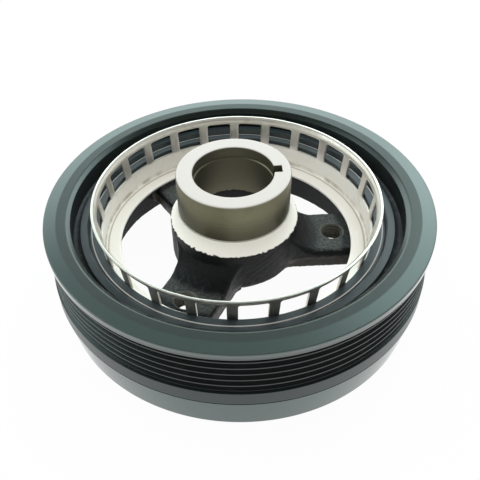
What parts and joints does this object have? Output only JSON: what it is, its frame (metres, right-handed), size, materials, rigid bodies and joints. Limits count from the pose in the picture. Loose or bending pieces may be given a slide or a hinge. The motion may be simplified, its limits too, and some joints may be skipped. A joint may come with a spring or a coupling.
{
  "type": "harmonic balancer",
  "caption": "Crankshaft harmonic balancer with poly-V belt grooves, three-armed hub and windowed interrupter ring.",
  "frame": {"origin": "on the crankshaft axis at the front face of the inertia ring, on which the part lies", "axes": "+Z along the crankshaft axis towards the engine (the nose), +X through the keyway and the first arm of the hub"},
  "size_m": [0.1719, 0.1718, 0.0643],
  "materials": {
    "hub_cast": "rough",
    "ring_coat": "satin",
    "rubber": "matte",
    "sheet_steel": "satin",
    "rivet_steel": "satin"
  },
  "bodies": {
    "root": {"hub": "hub_cast", "inertia_ring": "ring_coat", "rubber_ring": "rubber", "interrupter_ring": "sheet_steel", "rivets": "rivet_steel"}
  },
  "joints": []
}
